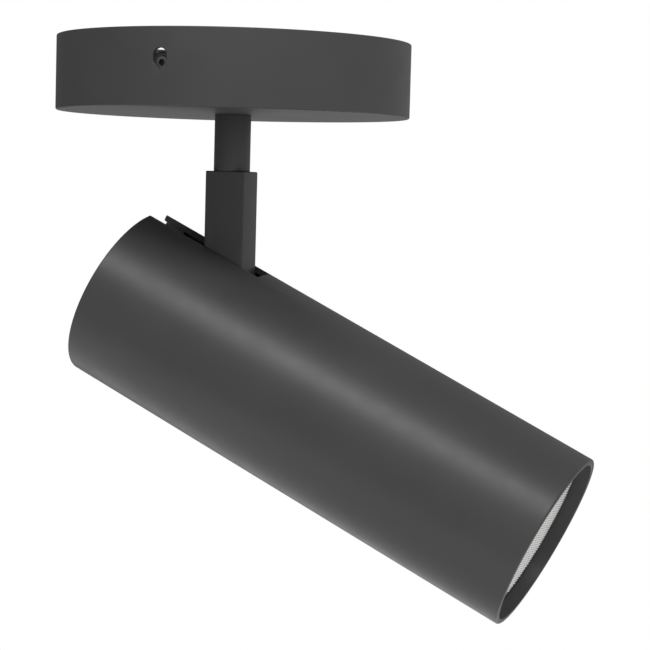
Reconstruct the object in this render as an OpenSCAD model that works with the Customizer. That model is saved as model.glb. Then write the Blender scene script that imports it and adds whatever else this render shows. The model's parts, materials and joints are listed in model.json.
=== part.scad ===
// Surface mounted ceiling spotlight: a round ceiling cup, a short stem with a square knuckle, and a
// tube head that tilts on the knuckle and takes one reflector lamp behind a prismatic glass.
// Origin: the middle of the ceiling plane. +Z is up, and the head points towards +X and down.

/* [Ceiling cup] */
// Outside diameter of the ceiling cup
canopy_d = 116.5; // [108:0.5:150]
// Height of the ceiling cup
canopy_h = 24.2; // [23.2:0.2:40]
// Thickness of the cup's side wall
canopy_wall = 1.5; // [1:0.1:2.5]
// Thickness of the cup's round floor
canopy_floor = 2; // [1.2:0.1:2.2]
// Rounding of the cup's lower edge
canopy_edge_r = 0.6; // [0.2:0.1:1]
// Width of each key hole in the cup's wall, which is round above
key_hole_d = 4.6; // [3:0.1:6]
// Depth of the key hole's round end below the ceiling
key_hole_drop = 8.8; // [7:0.1:9]
// Height of the straight sides between the hole's round end and its point
key_hole_straight = 1; // [0.4:0.1:2]

/* [Ceiling bracket] */
// Sheet thickness of the bracket
bracket_sheet = 1.5; // [1:0.1:1.8]
// Length of the bar that lies on the ceiling
bar_len = 84; // [78:1:96]
// Width of the bar
bar_w = 16; // [15:0.5:22]
// Distance between the two ceiling slots
ceiling_slot_spacing = 60; // [56:1:64]
// Width of a ceiling slot
ceiling_slot_w = 4.5; // [4:0.1:5.5]
// Length of a ceiling slot from end to end
ceiling_slot_len = 12; // [8:0.5:12]
// Width of the two arms that reach the cup's wall
arm_w = 14; // [10:0.5:15]
// Thread diameter of the grub screws that jam the cup on the bracket
grub_d = 4; // [3:0.5:5]
// Distance across the flats of the nuts welded to the bracket's ears
weld_nut_af = 7; // [6:0.5:7.5]
// Thickness of the welded nuts
weld_nut_t = 3.2; // [2.4:0.1:4]

/* [Terminals] */
// Length of the terminal block
block_len = 30; // [26:0.5:40]
// Width of the terminal block
block_w = 14; // [12:0.5:15]
// Height of the terminal block
block_h = 12; // [10:0.5:14]
// Number of poles in the terminal block
block_poles = 3; // [2:1:3]
// Thread diameter of the earth screw
earth_d = 4; // [3:0.5:5]

/* [Stem and swivel] */
// Outside diameter of the stem
stem_d = 12; // [11:0.5:13]
// Wall of the stem
stem_wall = 1; // [0.8:0.1:1.5]
// Length of stem between the cup and the knuckle
stem_len = 18.6; // [17:0.1:60]
// Wall of the hollow nipple
nipple_wall = 1.2; // [1:0.1:1.5]
// Outside diameter of the swivel washers
swivel_washer_d = 20; // [18:0.5:24]
// Thickness of the fibre washer
fibre_washer_t = 0.8; // [0.5:0.1:0.9]
// Thickness of the stop washer
stop_washer_t = 1.2; // [0.8:0.1:1.3]
// Reach of the stop washer's tab from the swivel axis
stop_tab_reach = 16; // [15:0.5:20]
// Diameter of the stop peg
stop_peg_d = 2.5; // [2:0.1:3]
// Distance across the flats of the lock nut
lock_nut_af = 14; // [13:0.5:16]
// Thickness of the lock nut
lock_nut_t = 3.5; // [3:0.1:3.6]

/* [Knuckle] */
// Width of the knuckle, seen from the side of the lamp
knuckle_w = 13.8; // [12:0.1:15]
// Thickness of the knuckle between the two cheeks
knuckle_t = 11.8; // [11:0.1:14]
// Distance from the knuckle's top down to the tilt pivot
knuckle_drop = 60.6; // [58:0.1:90]
// Diameter of the pivot bolt
pivot_d = 6; // [5:0.5:7]
// Diameter of the wire way down the knuckle
wire_way_d = 6; // [5:0.1:6.5]

/* [Head tube] */
// Outside diameter of the head tube
tube_d = 60; // [57:0.5:70]
// Length of the head tube
tube_len = 166.6; // [164:0.1:220]
// Wall of the head tube
tube_wall = 2; // [1:0.1:2.5]
// Distance from the tube's rear end to the tilt pivot
tube_rear = 43.6; // [40:0.1:48]
// Rounding of the tube's front edge
front_edge_r = 0.6; // [0.2:0.1:0.9]
// Tilt of the head below the horizontal, as it is shown
rest_tilt = 26; // [18:1:88]
// Thickness of the rear cap's plate
cap_plate = 2.5; // [1.5:0.1:4]
// Depth of the rear cap's skirt in front of its plate
cap_skirt = 5; // [3:0.5:8]
// How deep the rear cap sits in the tube
cap_inset = 1; // [0.5:0.1:3]

/* [Head carrier] */
// Thickness of the carrier's disc
carrier_disc_t = 3; // [2:0.1:5]
// Thickness of each cheek
cheek_t = 3; // [2:0.1:4]
// Half height of each cheek, which is also the radius of its rear end
cheek_r = 11; // [9:0.5:14]
// Thickness of each friction washer
friction_washer_t = 1; // [0.5:0.1:1.5]
// Diameter of each friction washer
friction_washer_d = 16; // [14:0.5:18]

/* [Lamp and glass] */
// Depth of the glass behind the tube's front edge
glass_recess = 4.7; // [2:0.1:8]
// Thickness of the front glass
glass_t = 3.3; // [2:0.1:5]
// Thickness of the silicone band round the glass
gasket_t = 0.8; // [0.5:0.1:1.2]
// Room between the lamp and the tube's bore, all round
lamp_room = 3; // [2.5:0.1:6]
// Length of the lamp without its pins
lamp_len = 50; // [46:0.5:54]
// Distance between the lamp's two pins
pin_spacing = 10; // [9:0.5:11]
// Diameter of a pin's head
pin_head_d = 5; // [4:0.1:5.4]
// Length of a pin
pin_len = 5; // [4:0.1:7]
// Depth of the lampholder along the tube
holder_depth = 17.5; // [14:0.5:20]
// Width of the lampholder
holder_w = 26; // [24:0.5:30]
// Height of the lampholder
holder_h = 17; // [15:0.5:20]

/* [Hidden] */

fine = 128;          // sides of the large round forms
small = 48;          // sides of screws and bores
over = 1;            // how far a cut runs past what it cuts
run_gap = 0.05;      // radial and end clearance of running fits and threads
seat_gap = 0.1;      // clearance round a piece that is pushed into the tube

black = [0.16, 0.16, 0.165];
steel = [0.72, 0.73, 0.74];
brass = [0.78, 0.64, 0.35];
fibre = [0.45, 0.16, 0.12];
white = [0.92, 0.92, 0.90];
ceramic = [0.88, 0.86, 0.80];
silicone = [0.30, 0.30, 0.30];
clear = [0.80, 0.82, 0.82];

function share(s, whole) = s * whole;

// Shares that every slotted screw follows
head_share = 1.75;          // head diameter over thread diameter
head_t_share = 0.6;         // head thickness over thread diameter
slit_share = 0.25;          // width of the driver slit over the head's diameter
slit_deep_share = 0.5;      // depth of the driver slit over the head's thickness

// Bracket and cup
cup_inside_r = canopy_d / 2 - canopy_wall;
key_hole_tip = key_hole_straight + key_hole_d / sqrt(2);     // from the round end's middle
grub_drop = key_hole_drop + share(1 / 2, key_hole_tip);
ear_gap = 0.9;              // from an ear's outer face to the cup's wall
ear_face = cup_inside_r - ear_gap;
ear_land = 1;               // metal above the screw hole in an ear
ear_top = grub_drop - grub_d / 2 - ear_land;
shelf_top = grub_drop + weld_nut_af / 2 + run_gap;
grub_end_gap = 0.1;         // between a screw's end and the curved wall
grub_face = sqrt(pow(cup_inside_r, 2) - pow(grub_d / 2, 2)) - grub_end_gap;
nut_back = ear_face - bracket_sheet - weld_nut_t;

// Terminals, which hang under the bar beside the arms
block_gap = 2.5;            // from the arms to the block and to the earth screw
block_x = arm_w / 2 + block_gap + block_w / 2;
pole_pitch = share(0.3, block_len);
pole_screw_d = share(0.27, block_w);
pole_way_d = share(0.25, block_h);
pole_row = share(0.25, block_w);
pole_sunk = share(0.1, block_h);
block_screw_d = share(0.2, block_w);
block_screw_y = pole_place(2) - pole_pitch / 2;
earth_x = -(arm_w / 2 + block_gap + share(head_share, earth_d) / 2);
earth_washer_t = share(0.2, earth_d);
earth_washer_d = share(2, earth_d);

// Stem and swivel
nipple_d = stem_d - 2 * stem_wall - 2 * run_gap;
nipple_bore = nipple_d - 2 * nipple_wall;
stem_top = canopy_h + run_gap;
knuckle_top = canopy_h + stem_len;
joint_depth = share(0.42, stem_len);          // how far the nipple and the spigot go into the stem
washer_base = canopy_h - canopy_floor - run_gap;
stop_base = washer_base - fibre_washer_t;
nut_base = stop_base - stop_washer_t;
nipple_above = 1;           // thread that stands over the lock nut
nipple_top = nut_base - lock_nut_t - nipple_above;
stop_tab_w = share(0.19, stop_tab_reach);
stop_peg_r = stop_tab_reach - stop_peg_d / 2;
stop_peg_top = nut_base - share(0.6, stop_peg_d);

// Knuckle
pivot_drop = knuckle_top + knuckle_drop;
wire_exit = pivot_drop - share(0.33, knuckle_drop);

// Head, measured from the pivot along the tube
tube_front = tube_len - tube_rear;
tube_bore_r = tube_d / 2 - tube_wall;
lamp_d = 2 * (tube_bore_r - lamp_room);
slot_play = 0.7;            // between the knuckle and each side of the slot
slot_w = knuckle_t + 2 * slot_play;
cap_play = 0.6;             // under the knuckle when the head hangs straight down
cap_rear = cap_inset - tube_rear;
cheek_in = knuckle_t / 2 + run_gap + friction_washer_t;
cheek_out = cheek_in + cheek_t;
bolt_head_af = share(5 / 3, pivot_d);
bolt_head_t = share(2 / 3, pivot_d);
pivot_nut_t = share(5 / 6, pivot_d);
bolt_end = cheek_out + pivot_nut_t + share(1 / 6, pivot_d);

glass_front = tube_front - glass_recess;
glass_rear = glass_front - glass_t;
glass_r = tube_bore_r - seat_gap - gasket_t;
ring_lip = share(5 / 11, glass_t);            // the part of the ring between lamp and glass
ring_depth = share(0.16, lamp_d);
ring_seat_r = lamp_d / 2 + seat_gap;
lamp_front = glass_rear - ring_lip;
lamp_rear = lamp_front - lamp_len;
holder_rear = lamp_rear - holder_depth;
disc_rear = holder_rear - carrier_disc_t;
lens_t = share(0.04, lamp_d);
lens_r = share(0.46, lamp_d);
pin_neck_share = 0.6;       // a pin's neck over its head
pin_head_share = 0.4;       // length of a pin's head over the pin
pin_way_d = pin_head_d + 2 * seat_gap;
contact_t = share(0.08, holder_depth);
holder_screw_d = share(0.12, holder_w);
holder_screw_z = share(0.32, holder_h);
disc_way_d = share(0.12, tube_d);
disc_way_z = share(0.32, tube_d);

// Lamp outline: shares of the lamp's diameter outwards and of its length forwards
lamp_outline_shares = [[0, 0], [0.19, 0], [0.19, 0.15], [0.24, 0.19], [0.28, 0.32], [0.44, 0.72],
    [0.47, 0.9], [0.5, 0.93], [0.5, 1], [0, 1]];

// Place of a terminal pole along the block
function pole_place(pole) = (pole - (block_poles + 1) / 2) * pole_pitch;

// Moves its children into the tilted head: +X along the tube, +Z across it, the pivot at zero
module in_head() {
    translate([0, 0, -pivot_drop]) rotate([0, rest_tilt, 0]) children();
}

// Turns a shape drawn along Z so that it lies along the tube
module along_tube() {
    rotate([0, 90, 0]) children();
}

// Turns a shape drawn along Z so that it lies along the pivot, towards +Y
module along_pivot() {
    rotate([-90, 0, 0]) children();
}

// The same shape at both ends of the bracket
module both_sides() {
    children();
    mirror([0, 1, 0]) children();
}

// A round rod along Z between two heights
module rod(d, low, high, sides = small) {
    translate([0, 0, low]) cylinder(d = d, h = high - low, $fn = sides);
}

// A round rod with a bore right through it
module pipe(d, bore, low, high, sides = small) {
    difference() {
        rod(d, low, high, sides);
        rod(bore, low - over, high + over, sides);
    }
}

// Six flats between two heights
module hexagon(af, low, high) {
    translate([0, 0, low]) cylinder(d = af / cos(30), h = high - low, $fn = 6);
}

// A pan screw along Z: its head lies below seat, and its thread runs up to top
module slotted_screw(d, seat, top) {
    head_d = share(head_share, d);
    head_t = share(head_t_share, d);
    slit_w = share(slit_share, head_d);
    slit_t = share(slit_deep_share, head_t);
    difference() {
        union() {
            rod(d, seat, top);
            rod(head_d, seat - head_t, seat);
        }
        translate([-head_d / 2 - over, -slit_w / 2, seat - head_t - over])
            cube([head_d + 2 * over, slit_w, slit_t + over]);
    }
}

// One folded arm: down from the bar, out along a shelf, and up into an ear behind the key hole
module bracket_arm() {
    web_in = bar_w / 2 - bracket_sheet;
    base = -shelf_top - bracket_sheet;
    translate([-arm_w / 2, web_in, base]) cube([arm_w, bracket_sheet, -base]);
    translate([-arm_w / 2, web_in, base]) cube([arm_w, ear_face - web_in, bracket_sheet]);
    translate([-arm_w / 2, ear_face - bracket_sheet, base])
        cube([arm_w, bracket_sheet, -base - ear_top]);
}

module ceiling_slot() {
    reach = (ceiling_slot_len - ceiling_slot_w) / 2;
    for (side = [-1, 1])
        translate([side * reach, 0, 0]) rod(ceiling_slot_w, -bracket_sheet - over, over);
    translate([-reach, -ceiling_slot_w / 2, -bracket_sheet - over])
        cube([2 * reach, ceiling_slot_w, bracket_sheet + 2 * over]);
}

module bracket() {
    color(steel) difference() {
        union() {
            translate([-bar_len / 2, -bar_w / 2, -bracket_sheet])
                cube([bar_len, bar_w, bracket_sheet]);
            both_sides() bracket_arm();
        }
        for (side = [-1, 1])
            translate([side * ceiling_slot_spacing / 2, 0, 0]) ceiling_slot();
        both_sides() translate([0, 0, -grub_drop]) along_pivot()
            rod(grub_d + 2 * run_gap, ear_face - bracket_sheet - over, ear_face + over);
        translate([block_x, block_screw_y, 0])
            rod(block_screw_d + 2 * run_gap, -bracket_sheet - over, over);
        translate([earth_x, 0, 0]) rod(earth_d + 2 * run_gap, -bracket_sheet - over, over);
    }
}

module weld_nuts() {
    color(steel) both_sides() translate([0, 0, -grub_drop]) along_pivot() difference() {
        hexagon(weld_nut_af, nut_back, nut_back + weld_nut_t);
        rod(grub_d + 2 * run_gap, nut_back - over, nut_back + weld_nut_t + over);
    }
}

module grub_screws() {
    socket = share(1 / 2, grub_d);
    color(steel) both_sides() translate([0, 0, -grub_drop]) along_pivot() difference() {
        rod(grub_d, nut_back, grub_face);
        hexagon(socket, grub_face - socket, grub_face + over);
    }
}

module terminal_block() {
    screw_head_d = share(head_share, block_screw_d) + 2 * seat_gap;
    color(white) translate([block_x, 0, -bracket_sheet]) difference() {
        translate([-block_w / 2, -block_len / 2, -block_h]) cube([block_w, block_len, block_h]);
        for (pole = [1:block_poles]) translate([0, pole_place(pole), -block_h / 2]) {
            along_tube() rod(pole_way_d, -block_w / 2 - over, block_w / 2 + over);
            for (row = [-1, 1]) translate([row * pole_row, 0, 0])
                rod(pole_screw_d + 2 * run_gap, -block_h / 2 - over, 0);
        }
        translate([0, block_screw_y, 0]) {
            rod(block_screw_d + 2 * run_gap, -block_h - over, over);
            rod(screw_head_d, -block_h - over, -block_h / 2);
        }
    }
}

module terminal_screws() {
    slit_w = share(slit_share, pole_screw_d);
    color(brass) translate([block_x, 0, -bracket_sheet])
        for (pole = [1:block_poles], row = [-1, 1])
            translate([row * pole_row, pole_place(pole), 0]) difference() {
                rod(pole_screw_d, pole_sunk - block_h, -block_h / 2);
                translate([-pole_screw_d / 2 - over, -slit_w / 2, -block_h])
                    cube([pole_screw_d + 2 * over, slit_w, 2 * pole_sunk]);
            }
}

module block_screw() {
    color(steel) translate([block_x, block_screw_y, -bracket_sheet])
        slotted_screw(block_screw_d, -block_h / 2, bracket_sheet - seat_gap);
}

module earth_screw() {
    color(brass) translate([earth_x, 0, -bracket_sheet])
        slotted_screw(earth_d, -earth_washer_t, bracket_sheet - seat_gap);
}

module earth_washer() {
    color(brass) translate([earth_x, 0, -bracket_sheet])
        pipe(earth_washer_d, earth_d + 2 * run_gap, -earth_washer_t, 0);
}

// Half section of the cup, with its lower outer edge rounded
module canopy_section() {
    r = canopy_d / 2;
    difference() {
        union() {
            square([r - canopy_edge_r, canopy_h]);
            translate([0, canopy_edge_r]) square([r, canopy_h - canopy_edge_r]);
            translate([r - canopy_edge_r, canopy_edge_r]) circle(r = canopy_edge_r, $fn = small);
        }
        translate([0, canopy_floor]) square([cup_inside_r, canopy_h]);
    }
}

// A key hole through the cup's wall: round above, straight at the sides, with a square point below
module key_hole() {
    r = key_hole_d / 2;
    flank = r / sqrt(2);        // where the circle runs into the point
    from = cup_inside_r - canopy_wall - over;
    to = canopy_d / 2 + over;
    translate([0, 0, -key_hole_drop]) along_pivot() {
        rod(key_hole_d, from, to);
        translate([0, key_hole_straight, 0]) rod(key_hole_d, from, to);
        translate([0, 0, from]) linear_extrude(height = to - from)
            polygon([[-r, 0], [r, 0], [r, key_hole_straight], [flank, key_hole_straight + flank],
                [0, key_hole_tip], [-flank, key_hole_straight + flank], [-r, key_hole_straight]]);
    }
}

module canopy() {
    color(black) difference() {
        translate([0, 0, -canopy_h]) rotate_extrude($fn = fine) canopy_section();
        both_sides() key_hole();
        rod(nipple_d + 2 * run_gap, -canopy_h - over, over);
    }
}

module stop_peg() {
    color(steel) translate([stop_peg_r, 0, 0])
        rod(stop_peg_d, canopy_floor - canopy_h, -stop_peg_top);
}

module stem() {
    color(black) pipe(stem_d, stem_d - 2 * stem_wall, -knuckle_top, -stem_top);
}

module nipple() {
    color(steel) pipe(nipple_d, nipple_bore, -stem_top - joint_depth, -nipple_top);
}

module fibre_washer() {
    color(fibre) pipe(swivel_washer_d, nipple_d + 2 * run_gap, -washer_base, -stop_base);
}

module stop_washer() {
    color(steel) difference() {
        union() {
            rod(swivel_washer_d, -stop_base, -nut_base);
            translate([-stop_tab_reach, -stop_tab_w / 2, -stop_base])
                cube([stop_tab_reach, stop_tab_w, stop_washer_t]);
        }
        rod(nipple_d + 2 * run_gap, -stop_base - over, over - nut_base);
    }
}

module lock_nut() {
    color(brass) difference() {
        hexagon(lock_nut_af, -nut_base, lock_nut_t - nut_base);
        rod(nipple_d + 2 * run_gap, -nut_base - over, lock_nut_t - nut_base + over);
    }
}

module knuckle() {
    color(black) difference() {
        union() {
            translate([-knuckle_w / 2, -knuckle_t / 2, -pivot_drop])
                cube([knuckle_w, knuckle_t, knuckle_drop]);
            translate([0, 0, -pivot_drop]) along_pivot()
                rod(knuckle_w, -knuckle_t / 2, knuckle_t / 2);
            rod(nipple_d, -knuckle_top, joint_depth - knuckle_top);
        }
        translate([0, 0, -pivot_drop]) along_pivot()
            rod(pivot_d + 2 * run_gap, -knuckle_t / 2 - over, knuckle_t / 2 + over);
        rod(wire_way_d, -wire_exit - wire_way_d / 2, joint_depth - knuckle_top + over);
        translate([0, 0, -wire_exit]) along_tube() rod(wire_way_d, -knuckle_w / 2 - over, 0);
    }
}

// Half section of the tube's wall, with its front outer edge rounded
module tube_section() {
    outer_r = tube_d / 2;
    translate([tube_bore_r, -tube_rear]) square([tube_wall, tube_len - front_edge_r]);
    translate([tube_bore_r, -tube_rear]) square([tube_wall - front_edge_r, tube_len]);
    intersection() {
        translate([outer_r - front_edge_r, tube_front - front_edge_r])
            circle(r = front_edge_r, $fn = small);
        translate([tube_bore_r, tube_front - 2 * front_edge_r])
            square([tube_wall, 2 * front_edge_r]);
    }
}

module tube() {
    color(black) in_head() difference() {
        along_tube() rotate_extrude($fn = fine) tube_section();
        translate([-tube_rear - over, -slot_w / 2, 0]) cube([tube_rear + over, slot_w, tube_d]);
    }
}

module rear_cap() {
    cap_d = 2 * (tube_bore_r - seat_gap);
    slot_floor = -knuckle_w / 2 - cap_play;
    color(black) in_head() difference() {
        along_tube() {
            rod(cap_d, cap_rear, cap_rear + cap_plate, fine);
            pipe(cap_d, cap_d - 2 * tube_wall, cap_rear, cap_rear + cap_plate + cap_skirt, fine);
        }
        translate([cap_rear - over, -slot_w / 2, slot_floor])
            cube([cap_plate + cap_skirt + 2 * over, slot_w, tube_d]);
    }
}

module carrier_cheek() {
    translate([0, cheek_in, -cheek_r]) cube([disc_rear, cheek_t, 2 * cheek_r]);
    along_pivot() rod(2 * cheek_r, cheek_in, cheek_out);
}

module carrier() {
    color(steel) in_head() difference() {
        union() {
            along_tube()
                rod(2 * (tube_bore_r - seat_gap), disc_rear, disc_rear + carrier_disc_t, fine);
            both_sides() carrier_cheek();
        }
        along_pivot() rod(pivot_d + 2 * run_gap, -cheek_out - over, cheek_out + over);
        for (side = [-1, 1]) {
            translate([0, 0, side * holder_screw_z]) along_tube()
                rod(holder_screw_d + 2 * run_gap, disc_rear - over, holder_rear + over);
            translate([0, 0, side * disc_way_z]) along_tube()
                rod(disc_way_d, disc_rear - over, holder_rear + over);
        }
    }
}

module pivot_bolt() {
    color(steel) in_head() along_pivot() {
        rod(pivot_d, -cheek_out, bolt_end);
        hexagon(bolt_head_af, -cheek_out - bolt_head_t, -cheek_out);
    }
}

module pivot_nut() {
    color(steel) in_head() along_pivot() difference() {
        hexagon(bolt_head_af, cheek_out, cheek_out + pivot_nut_t);
        rod(pivot_d + 2 * run_gap, cheek_out - over, cheek_out + pivot_nut_t + over);
    }
}

module friction_washers() {
    color(fibre) in_head() both_sides() along_pivot()
        pipe(friction_washer_d, pivot_d + 2 * run_gap, cheek_in - friction_washer_t, cheek_in);
}

module lampholder() {
    flat_w = holder_w - holder_h;
    color(ceramic) in_head() difference() {
        union() {
            translate([holder_rear, -flat_w / 2, -holder_h / 2])
                cube([holder_depth, flat_w, holder_h]);
            for (side = [-1, 1]) translate([0, side * flat_w / 2, 0]) along_tube()
                rod(holder_h, holder_rear, lamp_rear);
        }
        for (side = [-1, 1]) {
            translate([0, side * pin_spacing / 2, 0]) along_tube()
                rod(pin_way_d, lamp_rear - pin_len - seat_gap - contact_t, lamp_rear + over);
            translate([0, 0, side * holder_screw_z]) along_tube()
                rod(holder_screw_d + 2 * run_gap, holder_rear - over, holder_rear + holder_depth / 2);
        }
    }
}

module holder_contacts() {
    floor_x = lamp_rear - pin_len - seat_gap - contact_t;
    color(brass) in_head() for (side = [-1, 1])
        translate([0, side * pin_spacing / 2, 0]) along_tube()
            rod(pin_head_d, floor_x, floor_x + contact_t);
}

module holder_screws() {
    color(steel) in_head() for (side = [-1, 1])
        translate([0, 0, side * holder_screw_z]) along_tube()
            slotted_screw(holder_screw_d, disc_rear, holder_rear + holder_depth / 2 - seat_gap);
}

module lamp_body() {
    color(white) in_head() along_tube() difference() {
        translate([0, 0, lamp_rear]) rotate_extrude($fn = fine)
            polygon([for (p = lamp_outline_shares) [p[0] * lamp_d, p[1] * lamp_len]]);
        rod(2 * lens_r, lamp_front - lens_t, lamp_front + over, fine);
    }
}

module lamp_lens() {
    color(clear) in_head() along_tube()
        rod(2 * (lens_r - run_gap), lamp_front - lens_t, lamp_front, fine);
}

module lamp_pins() {
    color(brass) in_head() for (side = [-1, 1])
        translate([0, side * pin_spacing / 2, 0]) along_tube() {
            rod(share(pin_neck_share, pin_head_d), lamp_rear - pin_len, lamp_rear);
            rod(pin_head_d, lamp_rear - pin_len, lamp_rear - share(1 - pin_head_share, pin_len));
        }
}

module lens_ring() {
    ring_d = 2 * (tube_bore_r - seat_gap);
    color(black) in_head() along_tube() {
        pipe(ring_d, 2 * lens_r, glass_rear - ring_lip, glass_rear, fine);
        pipe(ring_d, 2 * ring_seat_r, glass_rear - ring_depth, glass_rear - ring_lip, fine);
    }
}

module front_glass() {
    color(clear) in_head() along_tube() rod(2 * glass_r, glass_rear, glass_front, fine);
}

module glass_gasket() {
    color(silicone) in_head() along_tube()
        pipe(2 * (glass_r + gasket_t), 2 * (glass_r + run_gap), glass_rear, glass_front, fine);
}

bracket();
weld_nuts();
grub_screws();
terminal_block();
terminal_screws();
block_screw();
earth_screw();
earth_washer();
canopy();
stop_peg();
stem();
nipple();
fibre_washer();
stop_washer();
lock_nut();
knuckle();
tube();
rear_cap();
carrier();
pivot_bolt();
pivot_nut();
friction_washers();
lampholder();
holder_contacts();
holder_screws();
lamp_body();
lamp_lens();
lamp_pins();
lens_ring();
front_glass();
glass_gasket();
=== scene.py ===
import json
import math

import bmesh
import bpy
from mathutils import Matrix, Vector


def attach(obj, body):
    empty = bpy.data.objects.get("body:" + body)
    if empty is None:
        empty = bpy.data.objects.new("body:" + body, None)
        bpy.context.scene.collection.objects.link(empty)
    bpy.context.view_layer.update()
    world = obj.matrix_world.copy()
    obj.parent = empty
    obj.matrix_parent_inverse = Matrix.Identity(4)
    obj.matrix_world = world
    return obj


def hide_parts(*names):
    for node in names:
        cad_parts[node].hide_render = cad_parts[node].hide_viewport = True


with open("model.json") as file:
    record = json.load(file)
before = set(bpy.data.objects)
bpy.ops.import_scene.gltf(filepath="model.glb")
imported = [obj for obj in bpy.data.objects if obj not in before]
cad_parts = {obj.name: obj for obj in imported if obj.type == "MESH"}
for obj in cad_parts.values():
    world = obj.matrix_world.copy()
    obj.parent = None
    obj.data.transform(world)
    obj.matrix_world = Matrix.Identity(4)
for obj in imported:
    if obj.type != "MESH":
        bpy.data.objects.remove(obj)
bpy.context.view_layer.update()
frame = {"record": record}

MM = 0.001

# Camera, at the photograph's viewing angle, in metres and degrees
PHOTO_PX = 650
CAMERA_AT = Vector((0.254059, -0.602079, -0.048387))
CAMERA_TURN = 20.054
CAMERA_DIP = 3.907
CAMERA_ROLL = 1.529
FOCAL_PX = 1965.31

# Soft light all round: its strength on the brightest and the dimmest side
LIT_SIDE = Vector((0.8, -0.37, -0.16))
BRIGHT_SIDE = 0.73
DIM_SIDE = 0.13
WHITE = (1, 1, 1, 1)

# One wide soft light above and in front, in metres and watts, and the floor far below
SOFTBOX_WAY = Vector((0.09, -0.658, 0.746))
SOFTBOX_AWAY = 1.6
SOFTBOX_WIDE = 1.6
SOFTBOX_HIGH = 0.35
SOFTBOX_POWER = 17.5
SOFTBOX_AIM = Vector((0.05, 0, -0.11))
FLOOR_Z = -1.25
FLOOR_R = 2.4

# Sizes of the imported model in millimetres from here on. Heights below the ceiling are negative.
RUN_GAP = 0.05
SEAT_GAP = 0.1
OVER = 1

# Ceiling cup, and its key holes from the round end's middle down to the point
CUP_R = 58.25
CUP_H = 24.2
CUP_IN = CUP_R - 1.5
CUP_FLOOR = 2 - CUP_H
KEY_R = 2.3
KEY_Z = -8.8
KEY_STRAIGHT = 1
KEY_TIP = KEY_Z - KEY_STRAIGHT - KEY_R * math.sqrt(2)

# Bracket, with the welded nuts and grub screws in its ears
SHEET = 1.5
BAR_LEN = 84
BAR_W = 16
ARM_W = 14
CEILING_SLOT_SPACING = 60
CEILING_SLOT_LEN = 12
CEILING_SLOT_W = 4.5
EAR_FACE = CUP_IN - 0.9
EAR_BACK = EAR_FACE - SHEET
GRUB_R = 2
GRUB_Z = (KEY_Z + KEY_TIP) / 2
GRUB_FACE = 56.6
WELD_NUT_AF = 7
WELD_NUT_T = 3.2
NUT_BACK = EAR_BACK - WELD_NUT_T
SHELF = GRUB_Z - WELD_NUT_AF / 2 - RUN_GAP

# Terminals, which hang under the bar
BLOCK_X = 16.5
BLOCK_LEN = 30
BLOCK_W = 14
BLOCK_MID = -SHEET - 6
BLOCK_LOW = -SHEET - 12
POLES = (-9, 0, 9)
POLE_ROWS = (-3.5, 3.5)
POLE_SCREW_R = 1.89
BLOCK_SCREW_R = 1.4
BLOCK_SCREW_Y = -4.5
EARTH_R = 2
EARTH_X = -13
EARTH_WASHER = -SHEET - 0.8

# Stem and swivel, from the cup's floor up to the nipple's end
STEM_R = 6
STEM_BORE = STEM_R - 1
STEM_TOP = -CUP_H - RUN_GAP
NIPPLE_R = STEM_BORE - RUN_GAP
SWIVEL_BORE = NIPPLE_R + RUN_GAP
WASHER_R = 10
WASHER_BASE = CUP_FLOOR + RUN_GAP
STOP_BASE = WASHER_BASE + 0.8
NUT_BASE = STOP_BASE + 1.2
NUT_TOP = NUT_BASE + 3.5
LOCK_NUT_AF = 14
TAB_REACH = 16
TAB_W = 3.04
PEG_R = 1.25

# Knuckle
KNUCKLE_TOP = -42.8
KNUCKLE_W = 13.8
KNUCKLE_T = 11.8
PIVOT_Z = -103.4
PIVOT_R = 3
WIRE_WAY_R = 3
WIRE_EXIT = -83.4
JOINT_DEEP = 7.812

# Head: places along the tube count forwards from the tilt pivot
REST_TILT = 26
TUBE_R = 30
BORE_R = TUBE_R - 2
PUSHED_R = BORE_R - SEAT_GAP
TUBE_REAR = -43.6
TUBE_FRONT = 123
SLOT_W = KNUCKLE_T + 1.4
GLASS_FRONT = TUBE_FRONT - 4.7
GLASS_REAR = GLASS_FRONT - 3.3
GLASS_R = PUSHED_R - 0.8
LAMP_D = 50
LAMP_LEN = 50
LAMP_FRONT = GLASS_REAR - 1.5
LAMP_REAR = LAMP_FRONT - LAMP_LEN
LENS_R = 23
LENS_REAR = LAMP_FRONT - 2
PIN_LOW = LAMP_REAR - 5
PIN_R = 2.5
PIN_Y = 5
HOLDER_W = 26
HOLDER_H = 17
HOLDER_REAR = LAMP_REAR - 17.5
HOLDER_MID = (HOLDER_REAR + LAMP_REAR) / 2
HOLDER_SCREW_R = 1.56
HOLDER_SCREW_X = 5.44
CONTACT_LOW = PIN_LOW - 1.5
DISC_REAR = HOLDER_REAR - 3
DISC_WAY_R = 3.6
DISC_WAY_Z = 19.2
FRICTION_R = 8
FRICTION_T = 1
CHEEK_T = 3
CHEEK_R = 11
CHEEK_IN = KNUCKLE_T / 2 + RUN_GAP + FRICTION_T
CHEEK_OUT = CHEEK_IN + CHEEK_T
PIVOT_NUT_AF = 10
PIVOT_NUT_T = 5
PIVOT_HEAD_T = 4

# The glass's front is cut in rows of long low prisms
PRISM_WIDE = 0.9
PRISM_LONG = 6.3
PRISM_DEEP = 0.38
PRISM_COUNT = 70


# Places: the head's own axes run along the tube, across it and up through the slot
def move(x=0.0, y=0.0, z=0.0):
    return Matrix.Translation((x, y, z))


def turned(degrees, axis):
    return Matrix.Rotation(math.radians(degrees), 4, axis)


UPRIGHT = Matrix.Identity(4)
TO_BACK = turned(-90, "X")
TO_FRONT = turned(90, "X")
TO_TIP = turned(90, "Y")
HEAD = move(z=PIVOT_Z) @ turned(REST_TILT, "Y")
ALONG_TUBE = HEAD @ TO_TIP
ALONG_PIVOT = HEAD @ TO_BACK


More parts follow.
